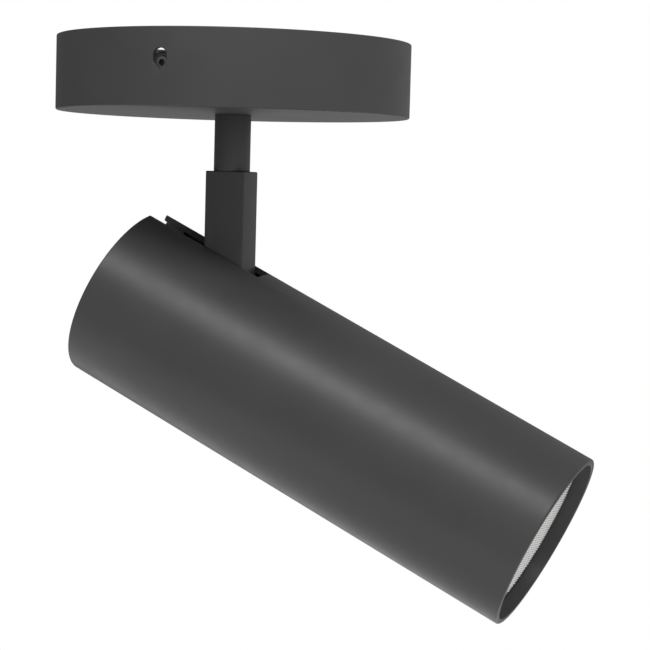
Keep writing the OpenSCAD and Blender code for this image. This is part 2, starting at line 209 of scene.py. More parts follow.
# Outlines
def rounded(corners, steps=6):
    """A closed outline. Each corner is (x, y), or (x, y, radius of its rounding)."""
    outline = []
    for i, corner in enumerate(corners):
        here = Vector(corner[:2])
        radius = corner[2] if len(corner) > 2 else 0
        if radius == 0:
            outline.append((here.x, here.y))
            continue
        back = (Vector(corners[i - 1][:2]) - here).normalized()
        ahead = (Vector(corners[(i + 1) % len(corners)][:2]) - here).normalized()
        half = back.angle(ahead) / 2
        centre = here + (back + ahead).normalized() * radius / math.sin(half)
        start = here + back * radius / math.tan(half) - centre
        end = here + ahead * radius / math.tan(half) - centre
        first = math.atan2(start.y, start.x)
        sweep = (math.atan2(end.y, end.x) - first + math.pi) % (2 * math.pi) - math.pi
        for k in range(steps + 1):
            angle = first + sweep * k / steps
            outline.append((centre.x + radius * math.cos(angle), centre.y + radius * math.sin(angle)))
    return outline


def arc(radius, first, last, steps, y=0.0):
    """Points on a circle round (0, y) between two angles in degrees."""
    turns = [math.radians(first + (last - first) * k / steps) for k in range(steps + 1)]
    return [(radius * math.cos(t), y + radius * math.sin(t)) for t in turns]


def circle(radius, sides=48):
    return arc(radius, 0, 360, sides)[:-1]


def rectangle(length, width, radius=0, steps=6):
    """A rectangle round the middle, its length along X, with rounded corners."""
    x = length / 2
    y = width / 2
    return rounded([(-x, -y, radius), (x, -y, radius), (x, y, radius), (-x, y, radius)], steps)


def area_of(outline):
    return sum(a[0] * b[1] - b[0] * a[1] for a, b in zip(outline, outline[1:] + outline[:1])) / 2


def grown(outline, width):
    """The outline moved outwards by a width, or inwards by a negative one."""
    side = 1 if area_of(outline) > 0 else -1
    points = [Vector(p) for p in outline]
    moved = []
    for i, here in enumerate(points):
        before = (here - points[i - 1]).normalized()
        after = (points[(i + 1) % len(points)] - here).normalized()
        one = Vector((before.y, -before.x)) * side
        two = Vector((after.y, -after.x)) * side
        middle = (one + two).normalized()
        spot = here + middle * width / max(middle.dot(one), 0.3)
        moved.append((spot.x, spot.y))
    return moved


# Solids, as bmesh in millimetres
def face_out(bm):
    """Turns the faces of one closed solid outwards."""
    bmesh.ops.recalc_face_normals(bm, faces=bm.faces)
    if bm.calc_volume(signed=True) < 0:
        bmesh.ops.reverse_faces(bm, faces=bm.faces)
    return bm


def skin(bm, low, high):
    """Faces between two rings. A ring of one point is a tip."""
    count = max(len(low), len(high))
    if count == 1:
        return
    for i in range(count):
        j = (i + 1) % count
        corners = [low[i % len(low)], low[j % len(low)], high[j % len(high)], high[i % len(high)]]
        bm.faces.new(list(dict.fromkeys(corners)))


def lathe(profile, sides, change=None):
    """Turns a closed outline of (radius, height) points about Z. change may alter a radius by place."""
    bm = bmesh.new()
    rings = []
    for radius, height in profile:
        if radius < 1e-6:
            rings.append([bm.verts.new((0, 0, height))])
            continue
        ring = []
        for i in range(sides):
            turn = i / sides
            here = change(radius, height, turn) if change else radius
            angle = 2 * math.pi * turn
            ring.append(bm.verts.new((here * math.cos(angle), here * math.sin(angle), height)))
        rings.append(ring)
    for low, high in zip(rings, rings[1:] + rings[:1]):
        skin(bm, low, high)
    return face_out(bm)


def loft(loops):
    """Skins loops of (x, y, z) points and closes both ends."""
    bm = bmesh.new()
    rings = [[bm.verts.new(p) for p in loop] for loop in loops]
    for low, high in zip(rings, rings[1:]):
        skin(bm, low, high)
    bm.faces.new(rings[0])
    bm.faces.new(rings[-1])
    return face_out(bm)


def stacked(outline, levels):
    """A loft of one outline, grown by each level's own width at its height."""
    return loft([[(x, y, z) for x, y in grown(outline, out)] for out, z in levels])


def quarter(radius, steps=3):
    """How far a rounding has moved sideways and up at each step."""
    turns = [math.pi / 2 * k / steps for k in range(steps + 1)]
    return [(radius * (1 - math.sin(t)), radius * (1 - math.cos(t))) for t in turns]


def prism(outline, low, high, soft=0.0, steps=3):
    """An outline raised along Z from low to high, with the edges of both ends rounded."""
    if not soft:
        return stacked(outline, [(0, low), (0, high)])
    bend = quarter(soft, steps)
    levels = [(-out, low + up) for out, up in bend]
    levels += [(-out, high - up) for out, up in reversed(bend)]
    return stacked(outline, levels)


def hole(outline, low, high, soft):
    """A cutter along Z that rounds the hole's edges at the faces low and high."""
    bend = quarter(soft)
    levels = [(soft, low - OVER)] + [(out, low + up) for out, up in bend]
    levels += [(out, high - up) for out, up in reversed(bend)] + [(soft, high + OVER)]
    return stacked(outline, levels)


def pocket(outline, bottom, face, soft):
    """A cutter along Z for a hole that ends at bottom, with its edge rounded at the face."""
    levels = [(0, bottom)] + [(out, face - up) for out, up in reversed(quarter(soft))]
    return stacked(outline, levels + [(soft, face + OVER)])


def wall_hole(outline, radius, soft, deep):
    """A cutter along Z, rounding the outer edge, for a hole in a round wall with its axis along Y."""
    loops = [[(x, y, radius - deep) for x, y in outline]]
    for out, up in reversed(quarter(soft, 4)):
        loops.append([(x, y, math.sqrt(radius * radius - x * x) - up) for x, y in grown(outline, out)])
    loops.append([(x, y, radius + OVER) for x, y in grown(outline, soft)])
    return loft(loops)


def pipe(outer, bore, low, high, soft, sides=128):
    corners = [(bore, low, soft), (outer, low, soft), (outer, high, soft), (bore, high, soft)]
    return lathe(rounded(corners, 4), sides)


def rod(radius, low, high, soft):
    return lathe(rounded([(0, low), (radius, low, soft), (radius, high, soft), (0, high)], 4), 48)


def mesh_of(bm, name):
    mesh = bpy.data.meshes.new(name)
    bm.to_mesh(mesh)
    bm.free()
    return mesh


def new_object(name, data):
    obj = bpy.data.objects.new(name, data)
    bpy.context.scene.collection.objects.link(obj)
    return obj


def combine(bm, others, how):
    """One solid from a first and others: DIFFERENCE, UNION or INTERSECT."""
    base, *tools = [new_object("work", mesh_of(face_out(solid), "work")) for solid in (bm, *others)]
    for tool in tools:
        step = base.modifiers.new("step", "BOOLEAN")
        step.operation = how
        step.solver = "EXACT"
        step.object = tool
    depsgraph = bpy.context.evaluated_depsgraph_get()
    mesh = bpy.data.meshes.new_from_object(base.evaluated_get(depsgraph))
    result = bmesh.new()
    result.from_mesh(mesh)
    for obj in (base, *tools):
        old = obj.data
        bpy.data.objects.remove(obj)
        bpy.data.meshes.remove(old)
    bpy.data.meshes.remove(mesh)
    return face_out(result)


def cut(bm, *others):
    return combine(bm, others, "DIFFERENCE")


def join(bm, *others):
    return combine(bm, others, "UNION")


def at(bm, place):
    bm.transform(place)
    return bm


def together(parts):
    """Separate solids of one piece in one mesh."""
    whole = bmesh.new()
    for part in parts:
        mesh = mesh_of(part, "work")
        whole.from_mesh(mesh)
        bpy.data.meshes.remove(mesh)
    return whole


# Fasteners
HEAD_SHARE = 1.75       # a pan head's radius over its thread's radius


def threaded(start, radius, low, high, end, pitch, deep, sides=36):
    """A rod along Z with a thread from low to high. start and end are its outline's other points."""
    rows_a_turn = 6
    rows = max(4, round((high - low) / pitch * rows_a_turn))
    thread = [(radius, low + (high - low) * k / rows) for k in range(rows + 1)]

    def change(at_radius, height, turn):
        if not low < height < high:
            return at_radius
        phase = (height / pitch - turn) % 1
        groove = min(1.0, max(0.0, 1.5 * abs(2 * phase - 1) - 0.25))
        runout = min(1.0, (height - low) / pitch, (high - height) / pitch)
        return at_radius - deep * groove * runout

    body = lathe(start + thread + end, sides, change)
    bmesh.ops.triangulate(body, faces=body.faces)
    return body


def slotted_screw(r, seat, top, pitch):
    """A pan screw along Z: its head lies below the seat, and its thread runs up to the top."""
    head_r = HEAD_SHARE * r
    head_t = 1.2 * r
    crown_shares = [(0, 1), (0.55, 0.97), (0.8, 0.86), (0.94, 0.66), (1, 0.4)]
    crown = [(a * head_r, seat - b * head_t) for a, b in crown_shares]
    crown += [(head_r, seat - 0.05), (head_r - 0.05, seat)]
    tip = [(0.72 * r, top), (0, top)]
    body = threaded(crown, r, seat + 0.02, top - 0.3 * r, tip, pitch, deep=0.18 * r)
    slit = rectangle(2 * (head_r + OVER), 0.5 * head_r)
    return cut(body, prism(slit, seat - head_t - OVER, seat - head_t / 2))


def hexagon(af, low, high):
    """A hexagonal block whose corners are turned off at both ends."""
    corner = af / math.sqrt(3) + 0.1
    face = 0.96 * af / 2
    drop = (corner - face) * math.tan(math.radians(30))
    profile = [(0, low), (face, low), (corner, low + drop), (corner, high - drop), (face, high), (0, high)]
    block = prism(circle(af / math.sqrt(3), 6), low - OVER, high + OVER)
    return combine(block, [lathe(profile, 96)], "INTERSECT")


def nut(af, bore, low, high):
    return cut(hexagon(af, low, high), hole(circle(bore), low, high, 0.3))


# Materials
def new_node(tree, kind, **values):
    """A shader node with some of its inputs set, named as in Blender with _ for a space."""
    node = tree.nodes.new("ShaderNode" + kind)
    for name, value in values.items():
        node.inputs[name.replace("_", " ")].default_value = value
    return node


def new_material(name):
    """A material with its node tree, its main shader and the object's own coordinates."""
    material = bpy.data.materials.new(name)
    material.use_nodes = True
    tree = material.node_tree
    return material, tree, tree.nodes["Principled BSDF"], new_node(tree, "TexCoord").outputs["Object"]


def noise(tree, place, scale, detail, stretch=None):
    if stretch:
        mapping = new_node(tree, "Mapping", Scale=stretch)
        tree.links.new(place, mapping.inputs["Vector"])
        place = mapping.outputs["Vector"]
    node = new_node(tree, "TexNoise", Scale=scale, Detail=detail)
    tree.links.new(place, node.inputs["Vector"])
    return node.outputs["Fac"]


def tinted(tree, value, socket, dark, light):
    ramp = new_node(tree, "ValToRGB")
    for element, position, colour in zip(ramp.color_ramp.elements, (0.3, 0.7), (dark, light)):
        element.position = position
        element.color = (*colour, 1)
    tree.links.new(value, ramp.inputs["Fac"])
    tree.links.new(ramp.outputs["Color"], socket)


def ranged(tree, value, socket, low, high):
    span = new_node(tree, "MapRange", From_Min=0.3, From_Max=0.7, To_Min=low, To_Max=high)
    tree.links.new(value, span.inputs["Value"])
    tree.links.new(span.outputs["Result"], socket)


def bumped(tree, value, shader, strength, distance):
    bump = new_node(tree, "Bump", Strength=strength, Distance=distance * MM)
    tree.links.new(value, bump.inputs["Height"])
    tree.links.new(bump.outputs["Normal"], shader.inputs["Normal"])


def surface(name, dark, light, rough, tone, wear, grain, bump, deep=0.02, stretch=None, **sockets):
    """A material whose tone, roughness and fine relief each follow their own noise."""
    material, tree, shader, place = new_material(name)
    stains = noise(tree, place, tone, detail=4, stretch=stretch)
    tinted(tree, stains, shader.inputs["Base Color"], dark, light)
    scuffs = noise(tree, place, wear, detail=5, stretch=stretch)
    ranged(tree, scuffs, shader.inputs["Roughness"], *rough)
    bumped(tree, noise(tree, place, grain, detail=2, stretch=stretch), shader, bump, deep)
    for socket, value in sockets.items():
        shader.inputs[socket.replace("_", " ")].default_value = value
    return material


def painted_valley_shade(material, dark):
    """Paints shade into the valleys between the glass's prisms, in step with the prisms' own rows: a
    checker darkens the cells round the valleys to the colour dark.
    """
    tree = material.node_tree
    place = next(node for node in tree.nodes if node.type == "TEX_COORD").outputs["Object"]
    tone = next(node for node in tree.nodes if node.type == "VALTORGB").outputs["Color"]
    rows = new_node(tree, "Mapping", Location=(0, 0, PIVOT_Z * MM),
                    Rotation=(0, math.radians(REST_TILT), 0),
                    Scale=(1, PRISM_LONG * MM, PRISM_WIDE * MM))
    rows.vector_type = "TEXTURE"
    half_cell = new_node(tree, "Mapping", Location=(0, 0.25, 0.25), Scale=(0, 1, 1))
    # The checker's second colour, dark, is painted shade in the valleys; its first keeps the glass's own
    # tone on the tips.
    valley_shade_checker = new_node(tree, "TexChecker", Scale=2.0, Color2=(*dark, 1))
    tree.links.new(place, rows.inputs["Vector"])
    tree.links.new(rows.outputs["Vector"], half_cell.inputs["Vector"])
    tree.links.new(half_cell.outputs["Vector"], valley_shade_checker.inputs["Vector"])
    tree.links.new(tone, valley_shade_checker.inputs["Color1"])
    tree.links.new(valley_shade_checker.outputs["Color"], tree.nodes["Principled BSDF"].inputs["Base Color"])
    return material


MATERIALS = {
    "black_coat": surface(
        "powder_coat", (0.042, 0.042, 0.042), (0.047, 0.047, 0.047), rough=(0.37, 0.42),
        tone=35, wear=160, grain=2600, bump=0.10, deep=0.01, Specular_IOR_Level=0.35),
    "zinc_steel": surface(
        "zinc_plate", (0.50, 0.51, 0.53), (0.68, 0.69, 0.70), rough=(0.24, 0.40),
        tone=180, wear=500, grain=900, bump=0.15, stretch=(1, 1, 3), Metallic=1.0),
    "black_steel": surface(
        "black_passivated", (0.048, 0.048, 0.050), (0.062, 0.062, 0.064), rough=(0.46, 0.58),
        tone=240, wear=600, grain=1800, bump=0.15),
    "brass": surface(
        "turned_brass", (0.62, 0.43, 0.17), (0.78, 0.58, 0.27), rough=(0.20, 0.34),
        tone=300, wear=800, grain=2200, bump=0.15, stretch=(1, 1, 5), Metallic=1.0),
    "terminal_plastic": surface(
        "white_polyamide", (0.76, 0.76, 0.73), (0.82, 0.82, 0.79), rough=(0.42, 0.55),
        tone=90, wear=300, grain=2400, bump=0.12),
    "fibre": surface(
        "red_fibre", (0.22, 0.055, 0.035), (0.36, 0.10, 0.06), rough=(0.60, 0.78),
        tone=500, wear=700, grain=1300, bump=0.4, stretch=(1, 1, 8)),
    "aluminium": surface(
        "milled_aluminium", (0.50, 0.51, 0.52), (0.66, 0.67, 0.68), rough=(0.26, 0.40),
        tone=120, wear=420, grain=900, bump=0.2, stretch=(6, 1, 1), Metallic=1.0),
    "ceramic": surface(
        "glazed_steatite", (0.74, 0.70, 0.62), (0.82, 0.79, 0.72), rough=(0.18, 0.30),
        tone=140, wear=260, grain=700, bump=0.12, deep=0.03, Coat_Weight=0.4),
    "lamp_white": surface(
        "lamp_housing", (0.72, 0.72, 0.70), (0.80, 0.80, 0.78), rough=(0.38, 0.50),
        tone=70, wear=240, grain=1800, bump=0.12),
    "lamp_lens": surface(
        "moulded_lens", (0.80, 0.81, 0.80), (0.90, 0.91, 0.90), rough=(0.10, 0.20),
        tone=160, wear=300, grain=600, bump=0.08, Transmission_Weight=0.5, IOR=1.49),
    "ring_plastic": surface(
        "black_moulding", (0.018, 0.018, 0.018), (0.026, 0.026, 0.026), rough=(0.42, 0.55),
        tone=120, wear=300, grain=2000, bump=0.2),
    # The glass's prisms get painted shade in their valleys, in the colour given as dark.
    "prismatic_glass": painted_valley_shade(surface(
        "prismatic_glass", (0.88, 0.88, 0.87), (0.95, 0.95, 0.94), rough=(0.22, 0.34),
        tone=500, wear=400, grain=700, bump=0.05, Specular_IOR_Level=0.0), dark=(0.50, 0.50, 0.495)),
    "silicone": surface(
        "silicone_band", (0.030, 0.030, 0.030), (0.042, 0.042, 0.042), rough=(0.55, 0.68),
        tone=200, wear=400, grain=1500, bump=0.2),
}
BODIES = frame["record"]["behaviour"]["bodies"]
BODY_OF = {node: body for body, members in BODIES.items() for node in members}
SLOT_OF = {part["node"]: part["material_slot"] for part in frame["record"]["subparts"]}


def add_piece(node, bm, place=UPRIGHT, sharp=32):
    """Puts a finished solid in the scene in place of the node of that name."""
    bmesh.ops.dissolve_degenerate(bm, dist=0.0005, edges=bm.edges)
    bm.transform(Matrix.Scale(MM, 4) @ place)
    mesh = mesh_of(bm, node + "_look")
    for face in mesh.polygons:
        face.use_smooth = True
    mesh.set_sharp_from_angle(angle=math.radians(sharp))
    mesh.materials.append(MATERIALS[SLOT_OF[node]])
    obj = new_object(mesh.name, mesh)
    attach(obj, BODY_OF[node])
    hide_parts(node)


# Ceiling cup and what it holds
def key_hole():
    """Round above, straight at the sides, with a square point below."""
    top = arc(KEY_R, 0, 180, 16, y=KEY_Z)
    left = arc(KEY_R, 195, 225, 2, y=KEY_Z - KEY_STRAIGHT)
    blunt = 0.15
    foot = [(-blunt, KEY_TIP + blunt), (0, KEY_TIP + 0.6 * blunt), (blunt, KEY_TIP + blunt)]
    return top + left + foot + [(-x, y) for x, y in reversed(left)]


def canopy():
    profile = rounded([(SWIVEL_BORE, -CUP_H, 0.2), (CUP_R, -CUP_H, 0.6), (CUP_R, 0, 0.3), (CUP_IN, 0, 0.3),
                       (CUP_IN, CUP_FLOOR, 0.5), (SWIVEL_BORE, CUP_FLOOR, 0.2)])
    holes = []
    for side in (0, 180):
        cutter = wall_hole(key_hole(), CUP_R, soft=0.15, deep=3)
        holes.append(at(cutter, turned(side, "Z") @ TO_FRONT))
    add_piece("canopy", cut(lathe(profile, 360), *holes))


def facing(side):
    """From the grub screws' height towards the front ear, at -1, or the back one."""
    return move(z=GRUB_Z) @ (TO_BACK if side > 0 else TO_FRONT)


def bracket():
    arm_start = 3
    fold_out = 1.8
    fold_in = 0.6
    web = BAR_W / 2 - SHEET
    base = SHELF - SHEET
    ear_top = GRUB_Z + GRUB_R + 1
    section = rounded([(arm_start, 0), (BAR_W / 2, 0, fold_out), (BAR_W / 2, SHELF, fold_in),
                       (EAR_BACK, SHELF, fold_in), (EAR_BACK, ear_top, 0.3), (EAR_FACE, ear_top, 0.3),
                       (EAR_FACE, base, fold_out), (web, base, fold_out), (web, -SHEET, 0.4),
                       (arm_start, -SHEET)])
    bar = prism(rectangle(BAR_LEN, BAR_W, 2), -SHEET, 0, 0.15)
    arms = []
    for side in (90, 270):
        arms.append(at(prism(section, -ARM_W / 2, ARM_W / 2, 0.12), turned(side, "Z") @ TO_FRONT))
    cutters = []
    for side in (-1, 1):
        outline = rectangle(CEILING_SLOT_LEN, CEILING_SLOT_W, CEILING_SLOT_W / 2 - RUN_GAP, 10)
        ceiling_slot = hole(outline, -SHEET, 0, 0.15)
        cutters.append(at(ceiling_slot, move(side * CEILING_SLOT_SPACING / 2)))
    block_hole = hole(circle(BLOCK_SCREW_R + RUN_GAP), -SHEET, 0, 0.1)
    cutters.append(at(block_hole, move(BLOCK_X, BLOCK_SCREW_Y)))
    cutters.append(at(hole(circle(EARTH_R + RUN_GAP), -SHEET, 0, 0.1), move(EARTH_X)))
    for side in (-1, 1):
        cutters.append(at(hole(circle(GRUB_R + RUN_GAP), EAR_BACK, EAR_FACE, 0.2), facing(side)))
    add_piece("bracket", cut(join(bar, *arms), *cutters))


def weld_nuts():
    nuts = []
    for side in (-1, 1):
        one = nut(WELD_NUT_AF, GRUB_R + RUN_GAP, NUT_BACK, NUT_BACK + WELD_NUT_T)
        nuts.append(at(one, facing(side)))
    add_piece("weld_nuts", together(nuts))


def grub_screws():
    key_af = 2
    start = [(0, NUT_BACK), (GRUB_R - 0.5, NUT_BACK)]
    end = [(GRUB_R - 0.25, GRUB_FACE), (0, GRUB_FACE)]
    screws = []
    for side in (-1, 1):
        body = threaded(start, GRUB_R, NUT_BACK + 0.45, GRUB_FACE - 0.4, end, pitch=0.7, deep=0.36)
        socket = prism(circle(key_af / math.sqrt(3), 6), GRUB_FACE - key_af, GRUB_FACE + OVER)
        screws.append(at(cut(body, socket), facing(side)))
    add_piece("grub_screws", together(screws))


def terminal_block():
    groove_w = 1.2
    groove_top = BLOCK_LOW + 4
    rebate_w = 0.6
    rebate_top = BLOCK_LOW + 1.3
    body = prism(rectangle(BLOCK_W, BLOCK_LEN, 0.9), BLOCK_LOW, -SHEET, 0.5)
    cutters = []
    for pole in POLES:
        wire_way = hole(circle(1.5, 32), -BLOCK_W / 2, BLOCK_W / 2, 0.4)
        cutters.append(at(wire_way, move(y=pole, z=BLOCK_MID) @ TO_TIP))
        for row in POLE_ROWS:
            well = hole(circle(POLE_SCREW_R + RUN_GAP, 32), BLOCK_LOW, BLOCK_MID, 0.3)
            cutters.append(at(well, move(row, pole)))
    fixing = move(y=BLOCK_SCREW_Y)
    head_room = HEAD_SHARE * BLOCK_SCREW_R + SEAT_GAP
    cutters.append(at(hole(circle(BLOCK_SCREW_R + RUN_GAP, 32), BLOCK_LOW, -SHEET, 0.1), fixing))
    cutters.append(at(hole(circle(head_room, 32), BLOCK_LOW, BLOCK_MID, 0.2), fixing))
    groove = prism(rectangle(BLOCK_W + 2 * OVER, groove_w), BLOCK_LOW - OVER, groove_top)
    cutters.append(at(groove, move(y=-BLOCK_SCREW_Y)))
    for side in (-1, 1):
        rebate = prism(rectangle(2 * OVER, BLOCK_LEN + 2 * OVER), BLOCK_LOW - OVER, rebate_top)
        cutters.append(at(rebate, move(side * (BLOCK_W / 2 - rebate_w + OVER))))
    add_piece("terminal_block", at(cut(body, *cutters), move(BLOCK_X)))


def terminal_screws():
    foot = BLOCK_LOW + 1.2
    end_r = POLE_SCREW_R - 0.39
    start = [(0, foot), (end_r, foot)]
    end = [(end_r, BLOCK_MID), (0, BLOCK_MID)]
    screws = []
    for pole in POLES:
        for row in POLE_ROWS:
            body = threaded(start, POLE_SCREW_R, foot + 0.4, BLOCK_MID - 0.3, end, pitch=0.7, deep=0.32)
            slit = prism(rectangle(4 * POLE_SCREW_R, 0.84), foot - OVER, foot + 1.2)
            screws.append(at(cut(body, slit), move(BLOCK_X + row, pole)))
    add_piece("terminal_screws", together(screws))


def block_and_earth_screws():
    block_screw = slotted_screw(BLOCK_SCREW_R, BLOCK_MID, -SEAT_GAP, pitch=0.6)
    add_piece("block_screw", at(block_screw, move(BLOCK_X, BLOCK_SCREW_Y)))
    earth_screw = slotted_screw(EARTH_R, EARTH_WASHER, -SEAT_GAP, pitch=0.7)
    add_piece("earth_screw", at(earth_screw, move(EARTH_X)))
    washer = pipe(2 * EARTH_R, EARTH_R + RUN_GAP, EARTH_WASHER, -SHEET, 0.15, 64)
    add_piece("earth_washer", at(washer, move(EARTH_X)))


def stop_peg():
    peg_top = NUT_BASE + 1.2 * PEG_R
    peg = rounded([(0, CUP_FLOOR), (PEG_R, CUP_FLOOR, 0.1), (PEG_R, peg_top, 0.7), (0, peg_top)])
    add_piece("stop_peg", at(lathe(peg, 48), move(TAB_REACH - PEG_R)))


# Stem, swivel and knuckle
def nipple():
    low = STEM_TOP - JOINT_DEEP
    high = NUT_TOP + 1
    bore = NIPPLE_R - 1.2
    end_r = NIPPLE_R - 0.45
    start = [(bore, low), (end_r, low)]
    end = [(end_r, high), (bore, high)]
    add_piece("nipple", threaded(start, NIPPLE_R, low + 0.5, high - 0.5, end, pitch=1, deep=0.55, sides=64))


def swivel_parts():
    add_piece("stem", pipe(STEM_R, STEM_BORE, KNUCKLE_TOP, STEM_TOP, 0.12, 160))
    add_piece("fibre_washer", pipe(WASHER_R, SWIVEL_BORE, WASHER_BASE, STOP_BASE, 0.2))
    tab = prism(rectangle(TAB_REACH / 2, TAB_W, 0.4), STOP_BASE, NUT_BASE, 0.12)
    washer = pipe(WASHER_R, SWIVEL_BORE, STOP_BASE, NUT_BASE, 0.12)
    add_piece("stop_washer", join(washer, at(tab, move(-0.75 * TAB_REACH))))
    add_piece("lock_nut", nut(LOCK_NUT_AF, SWIVEL_BORE, NUT_BASE, NUT_TOP))


def knuckle():
    half_w = KNUCKLE_W / 2
    half_t = KNUCKLE_T / 2
    spigot_top = KNUCKLE_TOP + JOINT_DEEP
    corners = [(half_w, PIVOT_Z), (half_w, KNUCKLE_TOP, 0.45), (-half_w, KNUCKLE_TOP, 0.45),
               (-half_w, PIVOT_Z)]
    outline = arc(half_w, 180, 360, 32, y=PIVOT_Z) + rounded(corners)[1:-1]
    block = at(prism(outline, -half_t, half_t, 0.4, 4), TO_FRONT)
    block = join(block, rod(NIPPLE_R, KNUCKLE_TOP - OVER, spigot_top, 0.3))
    bore = at(hole(circle(PIVOT_R + RUN_GAP), -half_t, half_t, 0.3), move(z=PIVOT_Z) @ TO_BACK)
    wire_way = prism(circle(WIRE_WAY_R), WIRE_EXIT - WIRE_WAY_R + 0.1, spigot_top + OVER)
    mouth = pocket(circle(WIRE_WAY_R - 0.02), 0.5, half_w, 0.35)
    mouth = at(mouth, move(z=WIRE_EXIT) @ turned(-90, "Y"))
    add_piece("knuckle", cut(block, bore, wire_way, mouth))


# Head
def tube():
    profile = rounded([(BORE_R, TUBE_REAR, 0.3), (TUBE_R, TUBE_REAR, 0.4), (TUBE_R, TUBE_FRONT, 0.6),
                       (BORE_R, TUBE_FRONT, 0.25)])
    half = SLOT_W / 2
    rear = TUBE_REAR - 2 * OVER
    outline = rounded([(-half, rear), (half, rear), (half, 0, 0.25), (-half, 0, 0.25)], 4)
    swap_xy = Matrix(((0, 1, 0, 0), (1, 0, 0, 0), (0, 0, 1, 0), (0, 0, 0, 1)))
    slot = at(wall_hole(outline, TUBE_R, soft=0.2, deep=12), swap_xy)
    add_piece("tube", cut(at(lathe(profile, 384), TO_TIP), slot), HEAD, sharp=25)


def rear_cap():
    rear = TUBE_REAR + 1
    plate = rear + 2.5
    skirt = plate + 5
    inside = PUSHED_R - 2
    profile = rounded([(0, rear), (PUSHED_R, rear, 0.5), (PUSHED_R, skirt, 0.2), (inside, skirt, 0.2),
                       (inside, plate, 0.5), (0, plate)])
    half = SLOT_W / 2
    foot = KNUCKLE_W / 2 + 0.6
    far = -TUBE_R - OVER
    slot = rounded([(far, -half), (foot, -half, 0.3), (foot, half, 0.3), (far, half)], 4)
    add_piece("rear_cap", cut(lathe(profile, 256), hole(slot, rear, skirt + OVER, 0.3)), ALONG_TUBE)


def carrier():
    rear = DISC_REAR
    front = HOLDER_REAR
    disc = lathe(rounded([(0, rear), (PUSHED_R, rear, 0.3), (PUSHED_R, front, 0.3), (0, front)]), 192)
    cheek = arc(CHEEK_R, 90, 270, 32) + [(rear + OVER, -CHEEK_R), (rear + OVER, CHEEK_R)]
    lows = (CHEEK_IN, -CHEEK_OUT)
    cheeks = [at(prism(cheek, low, low + CHEEK_T, 0.3), TO_BACK) for low in lows]
    cutters = [at(hole(circle(PIVOT_R + RUN_GAP), low, low + CHEEK_T, 0.15), TO_BACK) for low in lows]
    for side in (-1, 1):
        screw_hole = hole(circle(HOLDER_SCREW_R + RUN_GAP, 32), rear, front, 0.2)
        cutters.append(at(screw_hole, move(z=side * HOLDER_SCREW_X) @ TO_TIP))
        cutters.append(at(hole(circle(DISC_WAY_R), rear, front, 0.4), move(z=side * DISC_WAY_Z) @ TO_TIP))
    add_piece("carrier", cut(join(at(disc, TO_TIP), *cheeks), *cutters), HEAD)


def pivot_parts():
    grip = CHEEK_OUT + 0.25
    tip = CHEEK_OUT + PIVOT_NUT_T + 1
    start = [(0, -grip), (PIVOT_R, -grip)]
    end = [(0.8 * PIVOT_R, tip), (0, tip)]
    shank = threaded(start, PIVOT_R, grip, tip - 0.55, end, pitch=1, deep=0.5, sides=48)
    head = hexagon(PIVOT_NUT_AF, -CHEEK_OUT - PIVOT_HEAD_T, -CHEEK_OUT)
    add_piece("pivot_bolt", join(head, shank), ALONG_PIVOT)
    bore = PIVOT_R + RUN_GAP
    add_piece("pivot_nut", nut(PIVOT_NUT_AF, bore, CHEEK_OUT, CHEEK_OUT + PIVOT_NUT_T), ALONG_PIVOT)
    washers = []
    for low in (CHEEK_IN - FRICTION_T, -CHEEK_IN):
        washers.append(pipe(FRICTION_R, bore, low, low + FRICTION_T, 0.2))
    add_piece("friction_washers", together(washers), ALONG_PIVOT)


def lampholder():
    body = prism(rectangle(HOLDER_H, HOLDER_W, 8.4, 16), HOLDER_REAR, LAMP_REAR, 0.8, 4)
    cutters = []
    for side in (-1, 1):
        pin_well = pocket(circle(PIN_R + SEAT_GAP), CONTACT_LOW, LAMP_REAR, 0.6)
        cutters.append(at(pin_well, move(y=side * PIN_Y)))
        screw_hole = prism(circle(HOLDER_SCREW_R + RUN_GAP, 32), HOLDER_REAR - OVER, HOLDER_MID)
        cutters.append(at(screw_hole, move(side * HOLDER_SCREW_X)))
    cutters.append(prism(rectangle(2 * HOLDER_H, 2.4), LAMP_REAR - 1.1, LAMP_REAR + OVER))
    add_piece("lampholder", cut(body, *cutters), ALONG_TUBE)


def holder_fittings():
    floor = CONTACT_LOW
    rim = floor + 1.4
    dish = rounded([(0, floor), (PIN_R, floor, 0.1), (PIN_R, rim, 0.3), (1.2, rim, 0.2), (0.9, floor + 1),
                    (0, floor + 1)], 3)
    contacts = [at(lathe(dish, 48), move(y=side * PIN_Y)) for side in (-1, 1)]
    add_piece("holder_contacts", together(contacts), ALONG_TUBE)
    screws = []
    for side in (-1, 1):
        screw = slotted_screw(HOLDER_SCREW_R, DISC_REAR, HOLDER_MID - SEAT_GAP, pitch=0.6)
        screws.append(at(screw, move(side * HOLDER_SCREW_X)))
    add_piece("holder_screws", together(screws), ALONG_TUBE)


